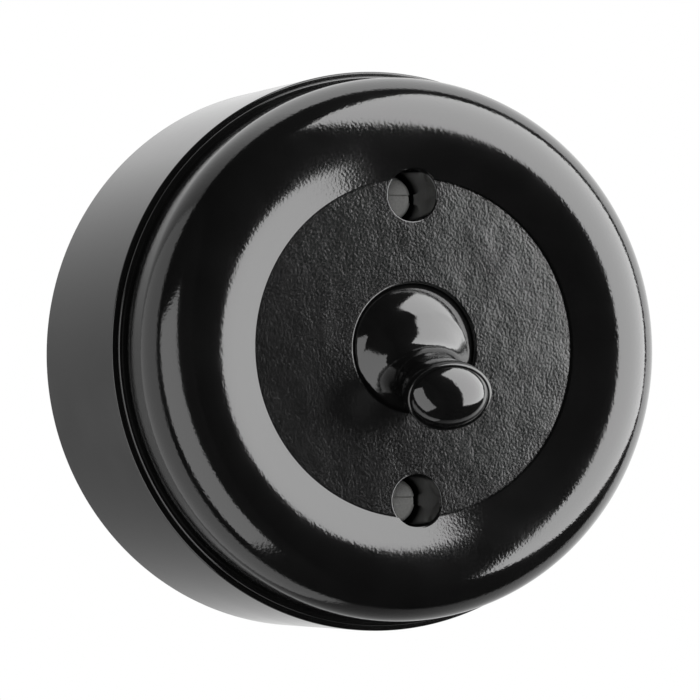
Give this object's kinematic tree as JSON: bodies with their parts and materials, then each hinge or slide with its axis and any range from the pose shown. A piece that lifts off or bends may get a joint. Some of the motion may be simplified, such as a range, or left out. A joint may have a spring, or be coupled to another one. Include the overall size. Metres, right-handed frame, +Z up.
{
  "type": "toggle light switch",
  "caption": "Round surface-mounted toggle light switch: black moulded drum and ringed cover with recessed cover screws, ball lever and a porcelain snap-action insert.",
  "frame": {"origin": "centre of the two wall screws, on the wall face at the back of the housing", "axes": "+X right, +Z up, +Y into the wall; the front and the lever face -Y"},
  "size_m": [0.0822, 0.0632, 0.0822],
  "materials": {
    "phenolic_drum": "glossy black moulded phenolic",
    "phenolic_cover": "glossy black moulded phenolic, grained face",
    "phenolic_lever": "polished black moulded phenolic",
    "phenolic_rocker": "brown moulded phenolic",
    "nickel_screws": "nickel-plated brass, slotted",
    "zinc_steel": "zinc-plated pressed steel",
    "bright_steel": "ground steel",
    "spring_steel": "spring steel wire",
    "brass": "machined brass",
    "copper_strip": "rolled copper alloy strip",
    "silver_tips": "silver contact rivet",
    "porcelain": "pressed porcelain"
  },
  "bodies": {
    "switch": {"housing": "phenolic_drum", "housing_inserts": "brass", "cover": "phenolic_cover", "cover_screws": "nickel_screws", "lever_pin": "bright_steel", "bearing_bracket": "zinc_steel", "bracket_rivets": "brass", "ring_rivets": "brass", "porcelain_base": "porcelain", "support_ring": "zinc_steel", "cover_bushes": "brass", "insert_screws": "nickel_screws", "rocker_pin": "bright_steel", "upper_contact": "copper_strip", "lower_contact": "copper_strip", "fixed_tips": "silver_tips", "common_contact": "copper_strip", "upper_terminal": "brass", "lower_terminal": "brass", "common_terminal": "brass", "terminal_screws": "nickel_screws"},
    "lever": {"toggle_lever": "phenolic_lever", "plunger_spring": "spring_steel"},
    "plunger": {"lever_plunger": "bright_steel"},
    "rocker": {"rocker": "phenolic_rocker", "contact_bridge": "copper_strip", "bridge_tips": "silver_tips"}
  },
  "joints": [
    {"name": "lever_tilt", "type": "hinge", "parent": "switch", "child": "lever", "pos_m": [0, -0.0388, 0], "axis": [-1, 0, 0], "range_deg": [0, 38]},
    {"name": "plunger_slide", "type": "slide", "parent": "lever", "child": "plunger", "axis": [0, -0.9455, -0.3256], "range_m": [0, 0.0012], "stiffness_N_per_m": 600, "springref_m": -0.006, "deforming": ["plunger_spring"]},
    {"name": "rocker_tilt", "type": "hinge", "parent": "switch", "child": "rocker", "pos_m": [0, -0.0201, 0], "axis": [1, 0, 0], "range_deg": [0, 24]}
  ],
  "couplings": [
    {"joint": "rocker_tilt", "follows": "lever_tilt", "ratio": 0.63158}
  ]
}
